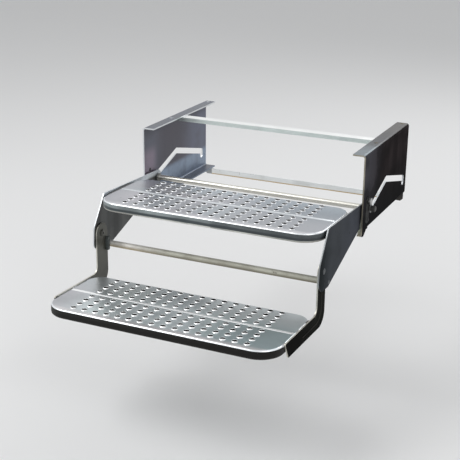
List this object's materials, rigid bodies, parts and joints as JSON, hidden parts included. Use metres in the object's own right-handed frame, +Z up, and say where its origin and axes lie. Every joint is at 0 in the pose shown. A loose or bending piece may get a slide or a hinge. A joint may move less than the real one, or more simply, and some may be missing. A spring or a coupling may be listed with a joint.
{
  "type": "manual double caravan step",
  "caption": "Slide-out and fold-out double entrance step for a caravan: perforated treads on side plates hung from cam-slotted brackets.",
  "frame": {"origin": "centre of the four fixing holes, in the plane of the bracket flanges' top faces", "axes": "+X across the doorway to the right of someone facing the vehicle, +Y from the street under the vehicle, +Z up"},
  "size_m": [0.524, 0.7277, 0.2859],
  "materials": {
    "bracket_steel": "galvanised sheet, satin, brushed upright",
    "bar_steel": "zinc plated, bright",
    "shaft_steel": "zinc plated, bright",
    "cheek_steel": "galvanised sheet, satin",
    "tread_steel": "galvanised sheet, satin",
    "arm_steel": "galvanised sheet, satin",
    "stop_bar_steel": "dull zinc, a little beige",
    "zinc_fasteners": "zinc plated, satin",
    "glide_plastic": "off-white moulded plastic",
    "stop_block_steel": "dull zinc"
  },
  "bodies": {
    "frame": {"right_bracket": "bracket_steel", "left_bracket": "bracket_steel", "top_cross_bar": "bar_steel", "rear_cross_bar": "bar_steel", "right_glide_block": "glide_plastic", "left_glide_block": "glide_plastic", "right_clamp_strap": "zinc_fasteners", "left_clamp_strap": "zinc_fasteners", "glide_bolts": "zinc_fasteners", "glide_rivets": "zinc_fasteners"},
    "shaft": {"slide_shaft": "shaft_steel", "shaft_spacers": "zinc_fasteners", "shaft_collars": "zinc_fasteners", "shaft_retaining_rings": "zinc_fasteners"},
    "upper_step": {"upper_tread": "tread_steel", "right_cheek": "cheek_steel", "left_cheek": "cheek_steel", "stop_bar": "stop_bar_steel", "right_step_pivot": "zinc_fasteners", "left_step_pivot": "zinc_fasteners"},
    "lower_step": {"lower_tread": "tread_steel", "right_arm": "arm_steel", "left_arm": "arm_steel", "right_stop_block": "stop_block_steel", "left_stop_block": "stop_block_steel", "stop_block_screws": "zinc_fasteners"}
  },
  "joints": [
    {"name": "step_slide", "type": "slide", "parent": "frame", "child": "shaft", "axis": [0, 0.9459, 0.3246], "range_m": [0, 0.107]},
    {"name": "step_tilt", "type": "hinge", "parent": "shaft", "child": "upper_step", "pos_m": [0, -0.152, -0.121], "axis": [-1, 0, 0], "range_deg": [0, 9.5]},
    {"name": "lower_step_fold", "type": "hinge", "parent": "upper_step", "child": "lower_step", "pos_m": [0, -0.395, -0.174], "axis": [-1, 0, 0], "range_deg": [0, 180]}
  ]
}
